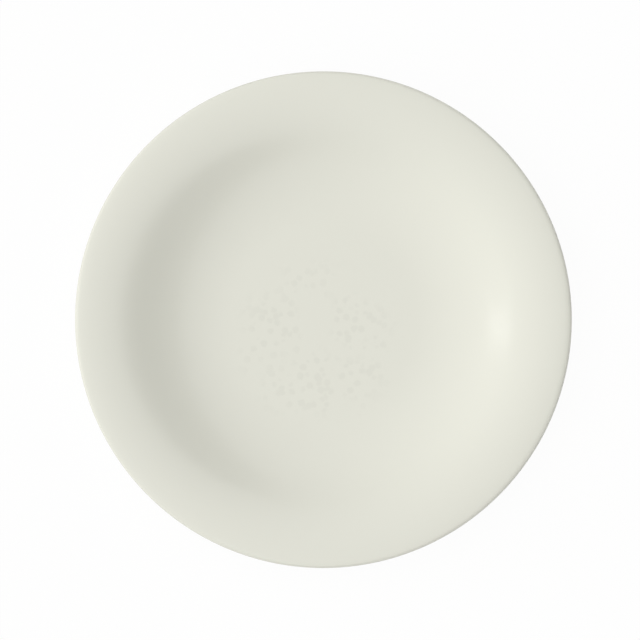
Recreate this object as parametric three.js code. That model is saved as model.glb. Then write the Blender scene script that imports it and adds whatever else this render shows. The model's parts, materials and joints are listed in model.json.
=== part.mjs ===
// A round, plain, ivory flat plate of glazed clay. One fired clay body carries the well, the cove, the rim
// and the foot ring. A coat of glaze wraps it, and only the foot ring's contact face is left bare.
// Millimetres, +Z up. The plate stands on z = 0, and Z is its axis.
import * as THREE from "three";

const { ArcCurve, Vector2 } = THREE;
const { degToRad } = THREE.MathUtils;

// The finished plate, measured over its glaze
const PLATE_DIAMETER = 270;
const EDGE_ROLL_WIDTH = 7.3; // from the rim's highest circle out to the edge
const EDGE_ROLL_RADIUS = 44; // of the rim's face, from its highest circle to the nose
const RIM_TURN_WIDTH = 27; // from the top of the wall out to the rim's highest circle
const WALL_WIDTH = 7.2; // the wall's straight stretch, seen from above
const COVE_WIDTH = 42; // from the flat of the well out to the foot of the wall
const WALL_ANGLE = degToRad(23); // the wall's straight stretch above the horizontal
const WALL_THICKNESS = 4; // of the cove, the wall and the rim
const FLOOR_THICKNESS = 5; // at the middle of the well
const FOOT_RECESS = 3; // underside of the well, inside the foot ring, above the table

// The foot ring, which is part of the clay body
const FOOT_RING_OUTSET = 22.8; // its middle line, out from the flat of the well
const FOOT_RING_WIDTH = 3; // flat contact face
const FOOT_EDGE_RADIUS = 0.8; // both edges of the contact face
const FOOT_DRAFT = degToRad(14); // both flanks, off the vertical
const FOOT_OUTER_FILLET = 3; // root of the outer flank, over the glaze
const FOOT_INNER_FILLET = 1.2; // root of the inner flank, over the glaze

// The glaze
const GLAZE_THICKNESS = 0.4;
const BARE_BAND = 0.6; // wiped clay on each flank, above the rounded edge of the contact face

// Facets
const FACETS_AROUND = 72;
const COVE_STEPS = 5;
const RIM_STEPS = 4; // from the wall to the highest circle
const EDGE_ROLL_STEPS = 2; // from the highest circle to the nose
const NOSE_STEPS = 4; // from the edge roll to the widest circle
const UNDER_COVE_STEPS = 2;
const FILLET_STEPS = 3;
const FOOT_EDGE_STEPS = 2;

// Directions in the section, where x is the distance from the axis and y is the height
const OUTWARD = 0;
const UP = Math.PI / 2;
const DOWN = -Math.PI / 2;
const HALF_TURN = Math.PI;

// Radii and heights that follow from the driving dimensions
const crestRadius = PLATE_DIAMETER / 2 - EDGE_ROLL_WIDTH;
const wallTopRadius = crestRadius - RIM_TURN_WIDTH;
const wallFootRadius = wallTopRadius - WALL_WIDTH;
const wellRadius = wallFootRadius - COVE_WIDTH;
const footRadius = wellRadius + FOOT_RING_OUTSET;
const floorHeight = FOOT_RECESS + FLOOR_THICKNESS;

// The cove is an arc about a centre above the plate, and the rim an arc about a centre below it
const coveArcRadius = COVE_WIDTH / Math.sin(WALL_ANGLE);
const rimArcRadius = RIM_TURN_WIDTH / Math.sin(WALL_ANGLE);
const coveCentre = new Vector2(wellRadius, floorHeight + coveArcRadius);
const wallFoot = along(coveCentre, DOWN + WALL_ANGLE, coveArcRadius);
const wallTopHeight = wallFoot.y + WALL_WIDTH * Math.tan(WALL_ANGLE);
const rimCentre = new Vector2(crestRadius, wallTopHeight - rimArcRadius * Math.cos(WALL_ANGLE));

// Past its highest circle the rim rolls down on a tighter arc, to a half round nose as thick as the rim
const rollCentre = along(rimCentre, UP, rimArcRadius - EDGE_ROLL_RADIUS);
const noseArcRadius = WALL_THICKNESS / 2;
const noseTurn = Math.asin((EDGE_ROLL_WIDTH - noseArcRadius) / (EDGE_ROLL_RADIUS - noseArcRadius));
const noseCentre = along(rollCentre, UP - noseTurn, EDGE_ROLL_RADIUS - noseArcRadius);

function along(point, angle, distance) {
  return new Vector2(point.x + distance * Math.cos(angle), point.y + distance * Math.sin(angle));
}

function arc(centre, radius, from, to, steps) {
  return new ArcCurve(centre.x, centre.y, radius, from, to, from > to).getPoints(steps);
}

function angleTo(point, target) {
  return Math.atan2(target.y - point.y, target.x - point.x);
}

// The lower edge and the direction of one clay flank of the foot ring: side is 1 outside and -1 inside
function footFlank(side) {
  const edgeCentre = new Vector2(footRadius + (side * FOOT_RING_WIDTH) / 2, FOOT_EDGE_RADIUS);
  const outAngle = side > 0 ? -FOOT_DRAFT : FOOT_DRAFT - HALF_TURN;
  return {
    edgeCentre,
    outAngle, // square to the flank, away from the clay
    upAngle: outAngle + side * UP,
    lowEnd: along(edgeCentre, outAngle, FOOT_EDGE_RADIUS),
  };
}

const outerFlank = footFlank(1);
const innerFlank = footFlank(-1);

// The outer fillet's centre is as far from the glazed flank as from the glazed underside of the cove
function outerFilletCentre() {
  const start = along(outerFlank.lowEnd, outerFlank.outAngle, FOOT_OUTER_FILLET + GLAZE_THICKNESS);
  const up = along(new Vector2(), outerFlank.upAngle, 1);
  const fromCove = start.clone().sub(coveCentre);
  const reach = coveArcRadius + WALL_THICKNESS + FOOT_OUTER_FILLET;
  const drop = -fromCove.dot(up);
  const rise = drop - Math.sqrt(drop ** 2 - fromCove.lengthSq() + reach ** 2);
  return along(start, outerFlank.upAngle, rise);
}

// The inner fillet's centre is as far from the glazed flank as from the glazed underside of the well
function innerFilletCentre() {
  const start = along(innerFlank.lowEnd, innerFlank.outAngle, FOOT_INNER_FILLET + GLAZE_THICKNESS);
  const rise = (FOOT_RECESS - FOOT_INNER_FILLET - start.y) / Math.sin(innerFlank.upAngle);
  return along(start, innerFlank.upAngle, rise);
}

const outerFillet = outerFilletCentre();
const innerFillet = innerFilletCentre();

// The section of the plate at a given depth below its glazed face, from the axis across the top, round the
// edge and back under the rim to the upper end of the foot ring's outer flank
function coatedFace(depth) {
  const filletStart = angleTo(outerFillet, coveCentre);
  const underRollRadius = EDGE_ROLL_RADIUS - WALL_THICKNESS + depth;
  return [
    new Vector2(0, floorHeight - depth),
    ...arc(coveCentre, coveArcRadius + depth, DOWN, DOWN + WALL_ANGLE, COVE_STEPS),
    ...arc(rimCentre, rimArcRadius - depth, UP + WALL_ANGLE, UP, RIM_STEPS),
    ...arc(rollCentre, EDGE_ROLL_RADIUS - depth, UP, UP - noseTurn, EDGE_ROLL_STEPS).slice(1),
    ...arc(noseCentre, noseArcRadius - depth, UP - noseTurn, OUTWARD, NOSE_STEPS).slice(1),
    ...arc(noseCentre, noseArcRadius - depth, OUTWARD, DOWN - noseTurn, NOSE_STEPS).slice(1),
    ...arc(rollCentre, underRollRadius, UP - noseTurn, UP, EDGE_ROLL_STEPS).slice(1),
    ...arc(rimCentre, rimArcRadius - WALL_THICKNESS + depth, UP, UP + WALL_ANGLE, RIM_STEPS).slice(1),
    ...arc(
      coveCentre,
      coveArcRadius + WALL_THICKNESS - depth,
      DOWN + WALL_ANGLE,
      filletStart - HALF_TURN,
      UNDER_COVE_STEPS,
    ),
    ...arc(
      outerFillet,
      FOOT_OUTER_FILLET + depth,
      filletStart,
      outerFlank.outAngle + HALF_TURN,
      FILLET_STEPS,
    ).slice(1),
  ];
}

// The section inside the foot ring at a given depth below its glazed face, from the axis out to the upper
// end of the inner flank
function recessFace(depth) {
  const flankAngle = innerFlank.outAngle + HALF_TURN;
  return [
    new Vector2(0, FOOT_RECESS + depth),
    ...arc(innerFillet, FOOT_INNER_FILLET + depth, UP, flankAngle, FILLET_STEPS),
  ];
}

// The lower end of the glaze on a flank, from the clay out to the face of the glaze
function glazeEnd(flank) {
  const clay = along(flank.lowEnd, flank.upAngle, BARE_BAND);
  return [clay, along(clay, flank.outAngle, GLAZE_THICKNESS)];
}

// The bare foot ring, from the glaze on the outer flank to the glaze on the inner one
function bareFoot() {
  return [
    glazeEnd(outerFlank)[0],
    ...arc(outerFlank.edgeCentre, FOOT_EDGE_RADIUS, outerFlank.outAngle, DOWN, FOOT_EDGE_STEPS),
    ...arc(innerFlank.edgeCentre, FOOT_EDGE_RADIUS, DOWN, innerFlank.outAngle, FOOT_EDGE_STEPS),
    glazeEnd(innerFlank)[0],
  ];
}

function clayBodySection() {
  return [...coatedFace(GLAZE_THICKNESS), ...bareFoot(), ...recessFace(GLAZE_THICKNESS).reverse()];
}

function glazeCoatSection() {
  const [onClay, onFace] = glazeEnd(outerFlank);
  return [...coatedFace(0), onFace, onClay, ...coatedFace(GLAZE_THICKNESS).reverse()];
}

function footWellGlazeSection() {
  const [onClay, onFace] = glazeEnd(innerFlank);
  return [...recessFace(GLAZE_THICKNESS), onClay, onFace, ...recessFace(0).reverse()];
}

// Turns a section about the plate's axis. The section runs clockwise round the solid.
function turnedPiece(name, section, material) {
  const geometry = new THREE.LatheGeometry(section.reverse(), FACETS_AROUND).rotateX(UP);
  const piece = new THREE.Mesh(geometry, material);
  piece.name = name;
  return piece;
}

const firedClay = new THREE.MeshStandardMaterial({ color: 0xd8d0c0, roughness: 0.85, metalness: 0 });
const ivoryGlaze = new THREE.MeshStandardMaterial({ color: 0xe0e1d5, roughness: 0.3, metalness: 0 });

const plate = new THREE.Group();
plate.name = "flat_plate";
plate.add(
  turnedPiece("clay_body", clayBodySection(), firedClay),
  turnedPiece("glaze_coat", glazeCoatSection(), ivoryGlaze),
  turnedPiece("foot_well_glaze", footWellGlazeSection(), ivoryGlaze),
);

export default plate;
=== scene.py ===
"""The looks of a round, plain, ivory flat plate: a satin glaze over a clay body, with a bare foot ring.

It dresses the packed solids, in metres and in their own frame, and sets a white studio stage with the camera
straight above, as in the photograph.
"""

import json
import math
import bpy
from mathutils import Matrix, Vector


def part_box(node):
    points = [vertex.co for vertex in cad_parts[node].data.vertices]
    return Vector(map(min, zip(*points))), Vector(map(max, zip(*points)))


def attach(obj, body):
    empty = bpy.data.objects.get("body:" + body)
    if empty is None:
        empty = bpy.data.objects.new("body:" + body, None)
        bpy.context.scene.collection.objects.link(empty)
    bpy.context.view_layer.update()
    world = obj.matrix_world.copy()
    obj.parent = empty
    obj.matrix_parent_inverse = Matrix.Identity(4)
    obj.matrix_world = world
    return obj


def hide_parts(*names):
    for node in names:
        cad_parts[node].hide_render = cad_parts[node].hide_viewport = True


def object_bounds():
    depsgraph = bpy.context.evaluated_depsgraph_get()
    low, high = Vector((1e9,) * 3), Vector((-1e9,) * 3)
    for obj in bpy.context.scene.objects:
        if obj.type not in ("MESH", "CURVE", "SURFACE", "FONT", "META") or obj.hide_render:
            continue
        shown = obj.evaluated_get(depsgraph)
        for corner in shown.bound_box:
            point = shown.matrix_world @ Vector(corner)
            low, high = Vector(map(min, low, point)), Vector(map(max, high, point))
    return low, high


bl_info = {
    "name": "Ivory Flat Plate",
    "version": (1, 0, 0),
    "blender": (4, 5, 0),
    "location": "View3D > Sidebar > Plate",
    "description": "Dresses the solids of a glazed flat plate and sets its studio stage",
    "category": "Add Mesh",
}

import bmesh
import bpy
from bpy.props import FloatProperty, FloatVectorProperty, PointerProperty
from bpy.types import Operator, Panel, PropertyGroup
from mathutils import Euler, Vector

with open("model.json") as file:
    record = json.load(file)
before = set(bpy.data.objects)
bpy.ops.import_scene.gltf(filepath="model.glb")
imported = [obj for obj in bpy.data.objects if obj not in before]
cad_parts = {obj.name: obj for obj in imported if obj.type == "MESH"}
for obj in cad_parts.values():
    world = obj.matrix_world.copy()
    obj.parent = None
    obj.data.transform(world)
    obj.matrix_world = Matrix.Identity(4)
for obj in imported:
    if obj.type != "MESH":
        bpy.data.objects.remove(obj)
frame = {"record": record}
CAD_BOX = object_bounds()
MM = 0.001
BODY = "root"

# What the solids give
CLAY_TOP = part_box("clay_body")[1]
COAT_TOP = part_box("glaze_coat")[1]
RECESS_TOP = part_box("foot_well_glaze")[1]
MOUNT_POINTS = {mount["name"]: Vector(mount["pos_m"]) for mount in frame["record"]["mounts"]}

# Directions in the section, where x is the distance from the axis and y is the height
OUTWARD = 0.0
UP = math.pi / 2
DOWN = -math.pi / 2
HALF_TURN = math.pi
FULL_TURN = 2 * math.pi

# Facets of the fine meshes
FACETS_AROUND = 288
FLOOR_RINGS = 6
COVE_STEPS = 26
WALL_STEPS = 4
RIM_STEPS = 20
EDGE_ROLL_STEPS = 6
SHOULDER_STEPS = 4
NOSE_STEPS = 10
FILLET_STEPS = 8
FOOT_EDGE_STEPS = 5
LIP_STEPS = 6
STAGE_FACETS = 96
SHARP_ANGLE = math.radians(50)

# Waves that firing and wiping leave, each as (waves round the plate, height, phase)
RIM_WAVES = ((2, 0.11 * MM, 0.7), (3, 0.06 * MM, 2.2))
GLAZE_LINE_WAVES = ((3, 0.11 * MM, 0.4), (7, 0.07 * MM, 1.9), (17, 0.035 * MM, 3.1))

# Where the patterns fade in: shares of a radius, and levels of noises that run from 0 to 1
SPOT_CORE = 0.55  # of a spot's radius, where the mottle shows in full
POOL_CORE = 0.6  # of the pool's radius, where the spots show in full
PATCH_LEVELS = (0.38, 0.52)  # from no spots to full spots
SPECK_CORE = 0.5  # of a speck's radius, where it is darkest
SPECK_STRENGTH = 0.6  # of the speck's colour at its darkest
RIPPLE_LEVELS = (0.3, 0.7)  # from the smoothest skin to the roughest
GRIT_LEVELS = (0.5, 0.75)  # from plain clay to full grit

# The photograph's frame, in pixels from its upper left corner
IMAGE_SIDE = 640
PLATE_CENTRE_PX = (323.4, 319.7)
PLATE_RADIUS_PX = 249.0


def linear(hex_colour):
    """The scene-linear colour of an sRGB hex value."""
    channels = [int(hex_colour[i:i + 2], 16) / 255 for i in (1, 3, 5)]
    return tuple(c / 12.92 if c <= 0.04045 else ((c + 0.055) / 1.055) ** 2.4 for c in channels)


def length(name, description, millimetres):
    """A length that a user can set."""
    return FloatProperty(name=name, description=description, default=millimetres * MM, min=0, unit="LENGTH")


def angle(name, description, degrees):
    """An angle that a user can set."""
    return FloatProperty(name=name, description=description, default=math.radians(degrees), unit="ROTATION")


def factor(name, description, value):
    """A plain number that a user can set."""
    return FloatProperty(name=name, description=description, default=value, min=0)


def colour(name, description, hex_colour):
    """A colour that a user can set."""
    return FloatVectorProperty(
        name=name,
        description=description,
        default=linear(hex_colour),
        min=0,
        max=1,
        subtype="COLOR",
    )


class PlateForm(PropertyGroup):
    """Sizes of the plate, over its glaze"""

    plate_radius: length("Plate radius", "From the axis to the edge", COAT_TOP.x / MM)
    floor_height: length("Well height", "Flat of the well above the table", MOUNT_POINTS["well_floor"].z / MM)
    glaze: length("Glaze", "Thickness of the glaze", (COAT_TOP.x - CLAY_TOP.x) / MM)
    edge_roll_width: length("Edge roll", "From the rim's highest circle out to the edge", 7.3)
    edge_roll_radius: length("Edge roll radius", "Of the rim's face from its highest circle to the nose", 44)
    shoulder_radius: length("Shoulder radius", "Of the rim's face where the edge roll meets the nose", 14)
    nose_inset: length("Nose inset", "Half the wall's thickness, less the radius of the round edge", 0.04)
    rim_turn_width: length("Rim turn", "From the top of the wall out to the rim's highest circle", 27)
    wall_width: length("Wall", "Straight stretch of the wall, seen from above", 7.2)
    cove_width: length("Cove", "From the flat of the well out to the foot of the wall", 42)
    wall_angle: angle("Wall angle", "Straight stretch of the wall, above the horizontal", 23)
    wall_thickness: length("Wall thickness", "Of the cove, the wall and the rim", 4)
    foot_outset: length("Foot ring outset", "Middle of the foot ring, out from the flat of the well", 22.8)
    foot_width: length("Foot ring width", "Flat contact face", 3)
    foot_edge: length("Foot edge radius", "Both edges of the contact face", 0.8)
    foot_draft: angle("Foot draft", "Both flanks of the foot ring, off the vertical", 14)
    outer_fillet: length("Outer fillet", "Root of the foot ring's outer flank", 3)
    inner_fillet: length("Inner fillet", "Root of the foot ring's inner flank", 1.2)
    bare_band: length("Bare band", "Wiped clay on each flank of the foot ring", 0.6)
    glaze_lip: length("Glaze lip", "Rounded end of the glaze on the flanks", 0.5)


class GlazeFinish(PropertyGroup):
    """Satin ivory glaze"""

    ivory: colour("Ivory", "Body colour of the glaze", "#E2E2D6")
    mottle: colour("Mottle", "Faint spots in the well", "#DEDED2")
    speck: colour("Speck", "Iron specks", "#B7B3A0")
    mottle_spacing: length("Mottle spacing", "Mean distance between the spots in the well", 4.6)
    mottle_radius: length("Mottle radius", "Of the largest spots", 2.5)
    mottle_unrest: length("Mottle unrest", "How far the spots' outlines stray from round", 2)
    mottle_cluster: length("Mottle cluster", "Grain of the patches that the spots gather in", 26)
    mottle_draw: factor("Mottle draw", "Which of many layouts the patches take", 2)
    pool_radius: length("Pool radius", "Reach of the spots round the pool's middle", 52)
    pool_place: FloatVectorProperty(
        name="Pool place",
        description="Middle of the pool, where the glaze lies thickest",
        default=(-4 * MM, -13 * MM, MOUNT_POINTS["well_floor"].z),
        unit="LENGTH",
    )
    speck_spacing: length("Speck spacing", "Mean distance between specks", 55)
    speck_radius: length("Speck radius", "Of one iron speck", 0.35)
    skin_size: length("Skin size", "Ripples of the fired skin", 6)
    skin_height: length("Skin height", "Height of the ripples", 0.012)
    roughness: factor("Roughness", "Mean roughness of the skin", 0.22)
    roughness_spread: factor("Roughness spread", "Change of roughness across the skin", 0.05)


class ClayFinish(PropertyGroup):
    """Bare fired clay"""

    clay: colour("Clay", "Body colour of the fired clay", "#D8D0C0")
    grit: colour("Grit", "Darker grains in the clay", "#B4A68F")
    grit_size: length("Grit size", "One grain", 0.5)
    grit_height: length("Grit height", "How far grains stand out", 0.05)
    roughness: factor("Roughness", "Of the bare clay", 0.85)


class StudioStage(PropertyGroup):
    """Floor, light and camera"""

    floor: colour("Floor", "White acrylic of the light table", "#FAFAF8")
    floor_radius: length("Floor radius", "Of the round light table", 3000)
    floor_gap: length("Floor gap", "Keeps the floor's face and the foot ring's apart", 0.05)
    shadow: factor("Shadow", "Share of the floor's own shading that the camera sees", 0.06)
    glow: factor("Glow", "Share of its own white that the floor gives to the underside of the plate", 0.4)
    fill: factor("Fill", "Brightness of the white room", 0.21)
    light_azimuth: angle("Light azimuth", "Where both lights stand, from +X towards +Y", 177.3)
    diffuser_elevation: angle("Diffuser elevation", "Middle of the diffuser above the table", 57)
    diffuser_spread: angle("Diffuser spread", "Width of the diffuser, seen from the plate", 115)
    diffuser_strength: factor("Diffuser strength", "Light of the diffuser, in watts per square metre", 2.53)
    lamp_elevation: angle("Lamp elevation", "Middle of the lamp above the table", 50)
    lamp_distance: length("Lamp distance", "From the plate to the lamp", 2200)
    lamp_size: length("Lamp size", "Across the round lamp", 240)
    lamp_power: factor("Lamp power", "Light of the lamp that glows through the diffuser, in watts", 1.0)
    focal_length: factor("Focal length", "Of the lens, in millimetres", 100)


def along(point, direction, distance):
    """The point that lies at a distance from another in a direction of the section."""
    return point + distance * Vector((math.cos(direction), math.sin(direction)))


def arc(centre, radius, start, stop, steps):
    """Points along an arc of the section, with both its ends."""
    return [along(centre, start + (stop - start) * i / steps, radius) for i in range(steps + 1)]


def bearing(point, target):
    """The direction in the section from a point to another."""
    way = target - point
    return math.atan2(way.y, way.x)


def crossing(first, first_reach, second, second_reach):
    """The point at a distance from each of two others, left of the way from the first to the second."""
    way = second - first
    ahead = (first_reach ** 2 - second_reach ** 2 + way.length_squared) / (2 * way.length)
    aside = math.sqrt(first_reach ** 2 - ahead ** 2)
    direction = bearing(first, second)
    return along(along(first, direction, ahead), direction + UP, aside)


def line(start, stop, steps):
    """Points along a straight stretch of the section, without its ends."""
    return [start.lerp(stop, i / steps) for i in range(1, steps)]


def waves(kinds, turn):
    """The sum of some waves round the plate, at a turn about its axis."""
    return sum(height * math.sin(count * turn + phase) for count, height, phase in kinds)


class Flank:
    """One clay flank of the foot ring: side is 1 outside and -1 inside"""

    def __init__(self, form, foot_radius, side):
        self.out = -form.foot_draft if side > 0 else form.foot_draft - HALF_TURN
        self.up = self.out + side * UP
        self.edge_centre = Vector((foot_radius + side * form.foot_width / 2, form.foot_edge))
        self.low_end = along(self.edge_centre, self.out, form.foot_edge)

    def point(self, height, cover):
        """The point that lies some way up the flank, under some glaze."""
        return along(along(self.low_end, self.up, height), self.out, cover)


class PlateSection:
    """The section of the plate, as Vectors of distance from the axis and height"""

    def __init__(self, form):
        self.form = form
        crest_radius = form.plate_radius - form.edge_roll_width
        wall_top_radius = crest_radius - form.rim_turn_width
        wall_foot_radius = wall_top_radius - form.wall_width
        self.well_radius = wall_foot_radius - form.cove_width
        self.foot_radius = self.well_radius + form.foot_outset
        self.recess_height = RECESS_TOP.z - form.glaze

        self.cove_arc = form.cove_width / math.sin(form.wall_angle)
        self.rim_arc = form.rim_turn_width / math.sin(form.wall_angle)
        self.cove_centre = Vector((self.well_radius, form.floor_height + self.cove_arc))
        wall_foot = along(self.cove_centre, DOWN + form.wall_angle, self.cove_arc)
        wall_rise = form.wall_width * math.tan(form.wall_angle)
        rim_drop = self.rim_arc * math.cos(form.wall_angle)
        self.rim_centre = Vector((crest_radius, wall_foot.y + wall_rise - rim_drop))
        self.roll_arc = form.edge_roll_radius
        self.roll_centre = along(self.rim_centre, UP, self.rim_arc - self.roll_arc)
        self.nose_arc = form.wall_thickness / 2 - form.nose_inset
        nose_reach = self.roll_arc - form.wall_thickness + self.nose_arc
        self.nose_lean = math.asin((form.edge_roll_width - self.nose_arc) / nose_reach)
        self.nose_centre = along(self.roll_centre, UP - self.nose_lean, nose_reach)
        self.shoulder_centre = crossing(
            self.roll_centre,
            self.roll_arc - form.shoulder_radius,
            self.nose_centre,
            form.shoulder_radius - self.nose_arc,
        )

        self.outer_flank = Flank(form, self.foot_radius, 1)
        self.inner_flank = Flank(form, self.foot_radius, -1)
        self.outer_fillet = self.outer_fillet_centre()
        self.inner_fillet = self.inner_fillet_centre()

    def outer_fillet_centre(self):
        """As far from the glazed outer flank as from the glazed underside of the cove."""
        start = self.outer_flank.point(0, self.form.outer_fillet + self.form.glaze)
        up = along(Vector((0, 0)), self.outer_flank.up, 1)
        from_cove = start - self.cove_centre
        reach = self.cove_arc + self.form.wall_thickness + self.form.outer_fillet
        drop = -from_cove.dot(up)
        rise = drop - math.sqrt(drop ** 2 - from_cove.length_squared + reach ** 2)
        return start + rise * up

    def inner_fillet_centre(self):
        """As far from the glazed inner flank as from the glazed underside of the well."""
        start = self.inner_flank.point(0, self.form.inner_fillet + self.form.glaze)
        rise = (self.recess_height - self.form.inner_fillet - start.y) / math.sin(self.inner_flank.up)
        return along(start, self.inner_flank.up, rise)

    def flat(self, height, radius):
        """Points out from the axis across a level face."""
        return [Vector((radius * i / FLOOR_RINGS, height)) for i in range(FLOOR_RINGS)]

    def top_face(self, depth):
        """From the axis to the widest circle, at a depth below the glazed face."""
        form = self.form
        cove = arc(self.cove_centre, self.cove_arc + depth, DOWN, DOWN + form.wall_angle, COVE_STEPS)
        rim = arc(self.rim_centre, self.rim_arc - depth, UP + form.wall_angle, UP, RIM_STEPS)
        roll_end = bearing(self.roll_centre, self.shoulder_centre)
        nose_start = bearing(self.shoulder_centre, self.nose_centre)
        roll = arc(self.roll_centre, self.roll_arc - depth, UP, roll_end, EDGE_ROLL_STEPS)
        shoulder_arc = form.shoulder_radius - depth
        shoulder = arc(self.shoulder_centre, shoulder_arc, roll_end, nose_start, SHOULDER_STEPS)
        nose = arc(self.nose_centre, self.nose_arc - depth, nose_start, OUTWARD, NOSE_STEPS)
        wall = line(cove[-1], rim[0], WALL_STEPS)
        well = self.flat(form.floor_height - depth, self.well_radius)
        return [*well, *cove, *wall, *rim, *roll[1:], *shoulder[1:], *nose[1:]]

    def under_face(self, depth):
        """From the widest circle to the upper end of the foot ring's outer flank."""
        form = self.form
        under_roll = self.roll_arc - form.wall_thickness + depth
        under_rim = self.rim_arc - form.wall_thickness + depth
        under_cove = self.cove_arc + form.wall_thickness - depth
        fillet_start = bearing(self.outer_fillet, self.cove_centre)
        fillet_stop = self.outer_flank.out + HALF_TURN
        nose = arc(self.nose_centre, self.nose_arc - depth, OUTWARD, DOWN - self.nose_lean, NOSE_STEPS)
        roll = arc(self.roll_centre, under_roll, UP - self.nose_lean, UP, EDGE_ROLL_STEPS)
        rim = arc(self.rim_centre, under_rim, UP, UP + form.wall_angle, RIM_STEPS)
        cove = arc(self.cove_centre, under_cove, DOWN + form.wall_angle, fillet_start - HALF_TURN, COVE_STEPS)
        fillet = arc(self.outer_fillet, form.outer_fillet + depth, fillet_start, fillet_stop, FILLET_STEPS)
        wall = line(rim[-1], cove[0], WALL_STEPS)
        return [*nose[1:], *roll[1:], *rim[1:], *wall, *cove, *fillet[1:]]

    def recess_face(self, depth):
        """From the axis to the upper end of the foot ring's inner flank."""
        radius = self.form.inner_fillet + depth
        fillet = arc(self.inner_fillet, radius, UP, self.inner_flank.out + HALF_TURN, FILLET_STEPS)
        return [*self.flat(self.recess_height + depth, fillet[0].x), *fillet]

    def lip(self, flank, turn):
        """The rounded end of the glaze on a flank, from the clay up to the glaze's full thickness."""
        form = self.form
        start = form.bare_band + waves(GLAZE_LINE_WAVES, turn)
        turns = [UP * i / LIP_STEPS for i in range(LIP_STEPS + 1)]
        return [
            flank.point(start + form.glaze_lip * (1 - math.cos(t)), form.glaze * math.sin(t)) for t in turns
        ]

    def bare_foot(self):
        """The rounded edges and the contact face of the foot ring, from its outer to its inner flank."""
        radius = self.form.foot_edge
        outer = arc(self.outer_flank.edge_centre, radius, self.outer_flank.out, DOWN, FOOT_EDGE_STEPS)
        inner = arc(self.inner_flank.edge_centre, radius, DOWN, self.inner_flank.out, FOOT_EDGE_STEPS)
        return [*outer, *inner]

    def clay_body(self, turn):
        """The whole clay body, which is the same at each turn."""
        depth = self.form.glaze
        recess = self.recess_face(depth)
        return [*self.top_face(depth), *self.under_face(depth), *self.bare_foot(), *reversed(recess)]

    def glaze_coat(self, turn):
        """The coat of glaze, out along its face and back along the clay."""
        lip = self.lip(self.outer_flank, turn)
        face = [*self.top_face(0), *self.under_face(0)]
        clay = [*self.top_face(self.form.glaze), *self.under_face(self.form.glaze)]
        return [*face, *reversed(lip), *reversed(clay)]

    def foot_well_glaze(self, turn):
        """The patch of glaze inside the foot ring, out along the clay and back along its face."""
        lip = self.lip(self.inner_flank, turn)
        return [*self.recess_face(self.form.glaze), *lip, *reversed(self.recess_face(0))]

    def warp(self, radius, turn):
        """How far firing has lifted the plate: nothing inside the foot ring, and most at the edge."""
        reach = self.form.plate_radius - self.foot_radius
        share = min(max((radius - self.foot_radius) / reach, 0), 1)
        return share ** 2 * waves(RIM_WAVES, turn)


def turned_piece(name, section, outline_at, material):
    """A mesh object that turns an outline about the plate's axis. The outline starts and ends on the axis."""
    turned = bmesh.new()
    rings = []
    ends = None
    for step in range(FACETS_AROUND):
        turn = FULL_TURN * step / FACETS_AROUND
        first, *middle, last = outline_at(turn)
        if ends is None:
            ends = [turned.verts.new((0, 0, point.y)) for point in (first, last)]
        ring = [ends[0]]
        for point in middle:
            height = point.y + section.warp(point.x, turn)
            ring.append(turned.verts.new((point.x * math.cos(turn), point.x * math.sin(turn), height)))
        rings.append([*ring, ends[1]])
    for ring, after in zip(rings, rings[1:] + rings[:1]):
        for i in range(len(ring) - 1):
            corners = [ring[i], ring[i + 1], after[i + 1], after[i]]
            turned.faces.new(dict.fromkeys(corners))
    mesh = bpy.data.meshes.new(name)
    turned.to_mesh(mesh)
    turned.free()
    mesh.polygons.foreach_set("use_smooth", [True] * len(mesh.polygons))
    mesh.set_sharp_from_angle(angle=SHARP_ANGLE)
    mesh.materials.append(material)
    piece = bpy.data.objects.new(name, mesh)
    bpy.context.scene.collection.objects.link(piece)
    return piece


def add_node(tree, kind, inputs=None, **settings):
    """A new node with its settings, and its inputs set to values or linked to sockets."""
    node = tree.nodes.new(kind)
    for name, value in settings.items():
        setattr(node, name, value)
    for name, value in (inputs or {}).items():
        if isinstance(value, bpy.types.NodeSocket):
            tree.links.new(value, node.inputs[name])
        else:
            node.inputs[name].default_value = value
    return node


def new_material(name):
    """An empty material, and its node tree."""
    material = bpy.data.materials.new(name)
    material.use_nodes = True
    material.node_tree.nodes.clear()
    return material, material.node_tree


def opaque(rgb):
    """A colour with full alpha, as a socket takes it."""
    return (*rgb, 1)


def fade(tree, value, none, full):
    """A soft step of a value: 0 at one level and 1 at the other."""
    step = add_node(
        tree,
        "ShaderNodeMapRange",
        {"Value": value, "From Min": none, "From Max": full},
        interpolation_type="SMOOTHSTEP",
    )
    return step.outputs["Result"]


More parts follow.
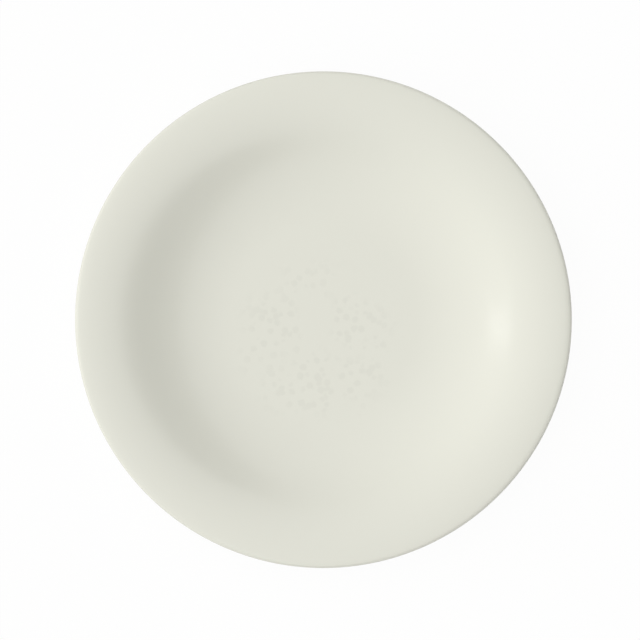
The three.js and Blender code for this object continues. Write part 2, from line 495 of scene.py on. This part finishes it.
def mottle_share(tree, place):
    """How much of the mottle colour shows: spots in patches, where the glaze pooled in the well."""
    finish = bpy.context.scene.glaze_finish
    unrest = add_node(tree, "ShaderNodeTexNoise", {"Vector": place, "Scale": 1 / finish.mottle_radius})
    uneven = add_node(
        tree,
        "ShaderNodeVectorMath",
        {0: unrest.outputs["Color"], 1: (finish.mottle_unrest,) * 3, 2: place},
        operation="MULTIPLY_ADD",
    )
    spots = add_node(
        tree,
        "ShaderNodeTexVoronoi",
        {"Vector": uneven.outputs[0], "Scale": 1 / finish.mottle_spacing},
        feature="F1",
    )
    patches = add_node(
        tree,
        "ShaderNodeTexNoise",
        {"Vector": place, "W": finish.mottle_draw, "Scale": 1 / finish.mottle_cluster, "Detail": 1.0},
        noise_dimensions="4D",
    )
    from_pool = add_node(
        tree, "ShaderNodeVectorMath", {0: place, 1: finish.pool_place}, operation="DISTANCE"
    )
    height = add_node(tree, "ShaderNodeSeparateXYZ", {0: place})
    spot_reach = finish.mottle_radius / finish.mottle_spacing
    form = bpy.context.scene.plate_form
    clay_height = form.floor_height - form.glaze
    share, *others = (
        fade(tree, spots.outputs["Distance"], spot_reach, spot_reach * SPOT_CORE),
        fade(tree, patches.outputs["Fac"], *PATCH_LEVELS),
        fade(tree, from_pool.outputs["Value"], finish.pool_radius, finish.pool_radius * POOL_CORE),
        fade(tree, height.outputs["Z"], clay_height, clay_height + form.glaze / 2),
    )
    for other in others:
        share = add_node(tree, "ShaderNodeMath", {0: share, 1: other}, operation="MULTIPLY").outputs[0]
    return share


def satin_glaze():
    """Opaque satin feldspar glaze, fired on clay.

    It gives the eye an even ivory, a broad soft highlight that breaks a little on the rippled skin, faint
    spots where the glaze lies thick in the well, and here and there an iron speck.
    """
    if "satin_ivory_glaze" in bpy.data.materials:
        return bpy.data.materials["satin_ivory_glaze"]
    finish = bpy.context.scene.glaze_finish
    material, tree = new_material("satin_ivory_glaze")
    place = add_node(tree, "ShaderNodeTexCoord").outputs["Object"]

    mottled = add_node(
        tree,
        "ShaderNodeMix",
        {"Factor": mottle_share(tree, place), "A": opaque(finish.ivory), "B": opaque(finish.mottle)},
        data_type="RGBA",
    )
    cells = add_node(
        tree, "ShaderNodeTexVoronoi", {"Vector": place, "Scale": 1 / finish.speck_spacing}, feature="F1"
    )
    speck_reach = finish.speck_radius / finish.speck_spacing
    speck = add_node(
        tree,
        "ShaderNodeMapRange",
        {
            "Value": cells.outputs["Distance"],
            "From Min": speck_reach * SPECK_CORE,
            "From Max": speck_reach,
            "To Min": SPECK_STRENGTH,
            "To Max": 0.0,
        },
    )
    specked = add_node(
        tree,
        "ShaderNodeMix",
        {"Factor": speck.outputs["Result"], "A": mottled.outputs["Result"], "B": opaque(finish.speck)},
        data_type="RGBA",
    )

    ripples = add_node(
        tree, "ShaderNodeTexNoise", {"Vector": place, "Scale": 1 / finish.skin_size, "Detail": 3.0}
    )
    skin = add_node(
        tree,
        "ShaderNodeBump",
        {"Height": ripples.outputs["Fac"], "Distance": finish.skin_height, "Strength": 1.0},
    )
    roughness = add_node(
        tree,
        "ShaderNodeMapRange",
        {
            "Value": ripples.outputs["Fac"],
            "From Min": RIPPLE_LEVELS[0],
            "From Max": RIPPLE_LEVELS[1],
            "To Min": finish.roughness - finish.roughness_spread / 2,
            "To Max": finish.roughness + finish.roughness_spread / 2,
        },
    )
    shader = add_node(
        tree,
        "ShaderNodeBsdfPrincipled",
        {
            "Base Color": specked.outputs["Result"],
            "Roughness": roughness.outputs["Result"],
            "IOR": 1.5,
            "Normal": skin.outputs["Normal"],
        },
    )
    add_node(tree, "ShaderNodeOutputMaterial", {"Surface": shader.outputs[0]})
    return material


def bare_clay():
    """Fired clay, wiped clean of glaze.

    It gives the eye a warm matt buff with fine darker grains, which stand out a little and catch the light.
    """
    finish = bpy.context.scene.clay_finish
    material, tree = new_material("fired_buff_clay")
    place = add_node(tree, "ShaderNodeTexCoord").outputs["Object"]
    grains = add_node(
        tree,
        "ShaderNodeTexNoise",
        {"Vector": place, "Scale": 1 / finish.grit_size, "Detail": 4.0, "Roughness": 0.6},
    )
    grit = add_node(
        tree,
        "ShaderNodeMapRange",
        {"Value": grains.outputs["Fac"], "From Min": GRIT_LEVELS[0], "From Max": GRIT_LEVELS[1]},
    )
    tone = add_node(
        tree,
        "ShaderNodeMix",
        {"Factor": grit.outputs["Result"], "A": opaque(finish.clay), "B": opaque(finish.grit)},
        data_type="RGBA",
    )
    relief = add_node(
        tree,
        "ShaderNodeBump",
        {"Height": grains.outputs["Fac"], "Distance": finish.grit_height, "Strength": 1.0},
    )
    shader = add_node(
        tree,
        "ShaderNodeBsdfPrincipled",
        {
            "Base Color": tone.outputs["Result"],
            "Roughness": finish.roughness,
            "Normal": relief.outputs["Normal"],
        },
    )
    add_node(tree, "ShaderNodeOutputMaterial", {"Surface": shader.outputs[0]})
    return material


def seen_white(tree):
    """1 for the rays that show the white room: from the camera, a reflection or through glass."""
    path = add_node(tree, "ShaderNodeLightPath")
    seen = path.outputs["Is Camera Ray"]
    for name in ("Is Glossy Ray", "Is Transmission Ray"):
        either = add_node(tree, "ShaderNodeMath", {0: seen, 1: path.outputs[name]}, operation="MAXIMUM")
        seen = either.outputs[0]
    return seen


def white_floor():
    """Matt white acrylic of a light table.

    It gives the eye a white with a faint shadow, and its glow lights the underside of the plate. From below
    it is clear.
    """
    stage = bpy.context.scene.studio_stage
    material, tree = new_material("white_light_table")
    board = add_node(tree, "ShaderNodeBsdfDiffuse", {"Color": opaque(stage.floor)})
    white = add_node(tree, "ShaderNodeEmission", {"Color": opaque((1, 1, 1)), "Strength": 1.0})
    share = add_node(
        tree,
        "ShaderNodeMapRange",
        {"Value": seen_white(tree), "To Min": stage.glow, "To Max": 1 - stage.shadow},
    )
    lit = add_node(
        tree,
        "ShaderNodeMixShader",
        {0: share.outputs["Result"], 1: board.outputs[0], 2: white.outputs[0]},
    )
    clear = add_node(tree, "ShaderNodeBsdfTransparent")
    side = add_node(tree, "ShaderNodeNewGeometry").outputs["Backfacing"]
    either = add_node(tree, "ShaderNodeMixShader", {0: side, 1: lit.outputs[0], 2: clear.outputs[0]})
    add_node(tree, "ShaderNodeOutputMaterial", {"Surface": either.outputs[0]})
    return material


def white_room():
    """The white room round the plate, which fills the shade and shows as white."""
    stage = bpy.context.scene.studio_stage
    world = bpy.data.worlds.new("white_room")
    world.use_nodes = True
    tree = world.node_tree
    tree.nodes.clear()
    level = add_node(
        tree, "ShaderNodeMapRange", {"Value": seen_white(tree), "To Min": stage.fill, "To Max": 1.0}
    )
    light = add_node(
        tree, "ShaderNodeBackground", {"Color": opaque((1, 1, 1)), "Strength": level.outputs["Result"]}
    )
    add_node(tree, "ShaderNodeOutputWorld", {"Surface": light.outputs[0]})
    return world


def dress(piece, node):
    """Hangs a piece from the plate's body, and hides the CAD node that it dresses."""
    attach(piece, BODY)
    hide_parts(node)


class PLATE_OT_clay_body(Operator):
    """Turn the clay body, with its foot ring"""

    bl_idname = "plate.clay_body"
    bl_label = "Clay Body"

    def execute(self, context):
        section = PlateSection(context.scene.plate_form)
        piece = turned_piece("plate_clay", section, section.clay_body, bare_clay())
        dress(piece, "clay_body")
        return {"FINISHED"}


class PLATE_OT_glaze_coat(Operator):
    """Lay the coat of glaze over the clay, as far as the foot ring's outer flank"""

    bl_idname = "plate.glaze_coat"
    bl_label = "Glaze Coat"

    def execute(self, context):
        section = PlateSection(context.scene.plate_form)
        piece = turned_piece("plate_glaze", section, section.glaze_coat, satin_glaze())
        dress(piece, "glaze_coat")
        return {"FINISHED"}


class PLATE_OT_foot_well_glaze(Operator):
    """Lay the patch of glaze inside the foot ring"""

    bl_idname = "plate.foot_well_glaze"
    bl_label = "Foot Well Glaze"

    def execute(self, context):
        section = PlateSection(context.scene.plate_form)
        piece = turned_piece("plate_foot_glaze", section, section.foot_well_glaze, satin_glaze())
        dress(piece, "foot_well_glaze")
        return {"FINISHED"}


class PLATE_OT_stage(Operator):
    """Set the floor, the lights, the white room and the camera"""

    bl_idname = "plate.stage"
    bl_label = "Studio Stage"

    def execute(self, context):
        scene = context.scene
        scene.view_settings.view_transform = "Standard"
        scene.world = white_room()
        self.lay_floor(scene)
        self.hang_lights(scene)
        self.place_camera(scene)
        return {"FINISHED"}

    def lay_floor(self, scene):
        """A round floor under the plate."""
        disc = bmesh.new()
        radius = scene.studio_stage.floor_radius
        bmesh.ops.create_circle(disc, cap_ends=True, segments=STAGE_FACETS, radius=radius)
        mesh = bpy.data.meshes.new("studio_floor")
        disc.to_mesh(mesh)
        disc.free()
        mesh.materials.append(white_floor())
        floor = bpy.data.objects.new("studio_floor", mesh)
        floor.location.z = -scene.studio_stage.floor_gap
        scene.collection.objects.link(floor)

    def hang_lights(self, scene):
        """A very broad, far diffuser above and to the left, and the round lamp that glows through it."""
        stage = scene.studio_stage
        diffuser = bpy.data.lights.new("left_diffuser", "SUN")
        diffuser.energy = stage.diffuser_strength
        diffuser.angle = stage.diffuser_spread
        lamp = bpy.data.lights.new("left_lamp", "AREA")
        lamp.energy = stage.lamp_power
        lamp.shape = "DISK"
        lamp.size = stage.lamp_size
        for light, elevation in ((diffuser, stage.diffuser_elevation), (lamp, stage.lamp_elevation)):
            way = Euler((0, -elevation, stage.light_azimuth)).to_matrix() @ Vector((1, 0, 0))
            holder = bpy.data.objects.new(light.name, light)
            holder.location = stage.lamp_distance * way
            holder.rotation_euler = way.to_track_quat("Z", "Y").to_euler()
            scene.collection.objects.link(holder)

    def place_camera(self, scene):
        """A long lens straight above, which frames the plate as the photograph does."""
        form = scene.plate_form
        lens = bpy.data.cameras.new("overhead_camera")
        lens.lens = scene.studio_stage.focal_length
        pixel = form.plate_radius / PLATE_RADIUS_PX
        rim_height = CAD_BOX[1].z
        reach = IMAGE_SIDE * pixel * lens.lens / lens.sensor_width
        camera = bpy.data.objects.new("overhead_camera", lens)
        middle = IMAGE_SIDE / 2
        camera.location = (
            (middle - PLATE_CENTRE_PX[0]) * pixel,
            (PLATE_CENTRE_PX[1] - middle) * pixel,
            rim_height + reach,
        )
        scene.collection.objects.link(camera)
        scene.camera = camera


class PLATE_PT_sidebar(Panel):
    """Sizes, finishes and steps of the plate"""

    bl_label = "Ivory Flat Plate"
    bl_space_type = "VIEW_3D"
    bl_region_type = "UI"
    bl_category = "Plate"

    def draw(self, context):
        for operator in OPERATORS:
            self.layout.operator(operator.bl_idname)
        for name, group in GROUPS.items():
            box = self.layout.box()
            box.label(text=group.__doc__)
            for setting in group.__annotations__:
                box.prop(getattr(context.scene, name), setting)


GROUPS = {
    "plate_form": PlateForm,
    "glaze_finish": GlazeFinish,
    "clay_finish": ClayFinish,
    "studio_stage": StudioStage,
}
OPERATORS = (PLATE_OT_clay_body, PLATE_OT_glaze_coat, PLATE_OT_foot_well_glaze, PLATE_OT_stage)
CLASSES = (*GROUPS.values(), *OPERATORS, PLATE_PT_sidebar)


def register():
    for cls in CLASSES:
        bpy.utils.register_class(cls)
    for name, group in GROUPS.items():
        setattr(bpy.types.Scene, name, PointerProperty(type=group))


def unregister():
    for name in GROUPS:
        delattr(bpy.types.Scene, name)
    for cls in reversed(CLASSES):
        bpy.utils.unregister_class(cls)


def main():
    register()
    bpy.ops.plate.clay_body()
    bpy.ops.plate.glaze_coat()
    bpy.ops.plate.foot_well_glaze()
    bpy.ops.plate.stage()


if __name__ == "__main__":
    main()
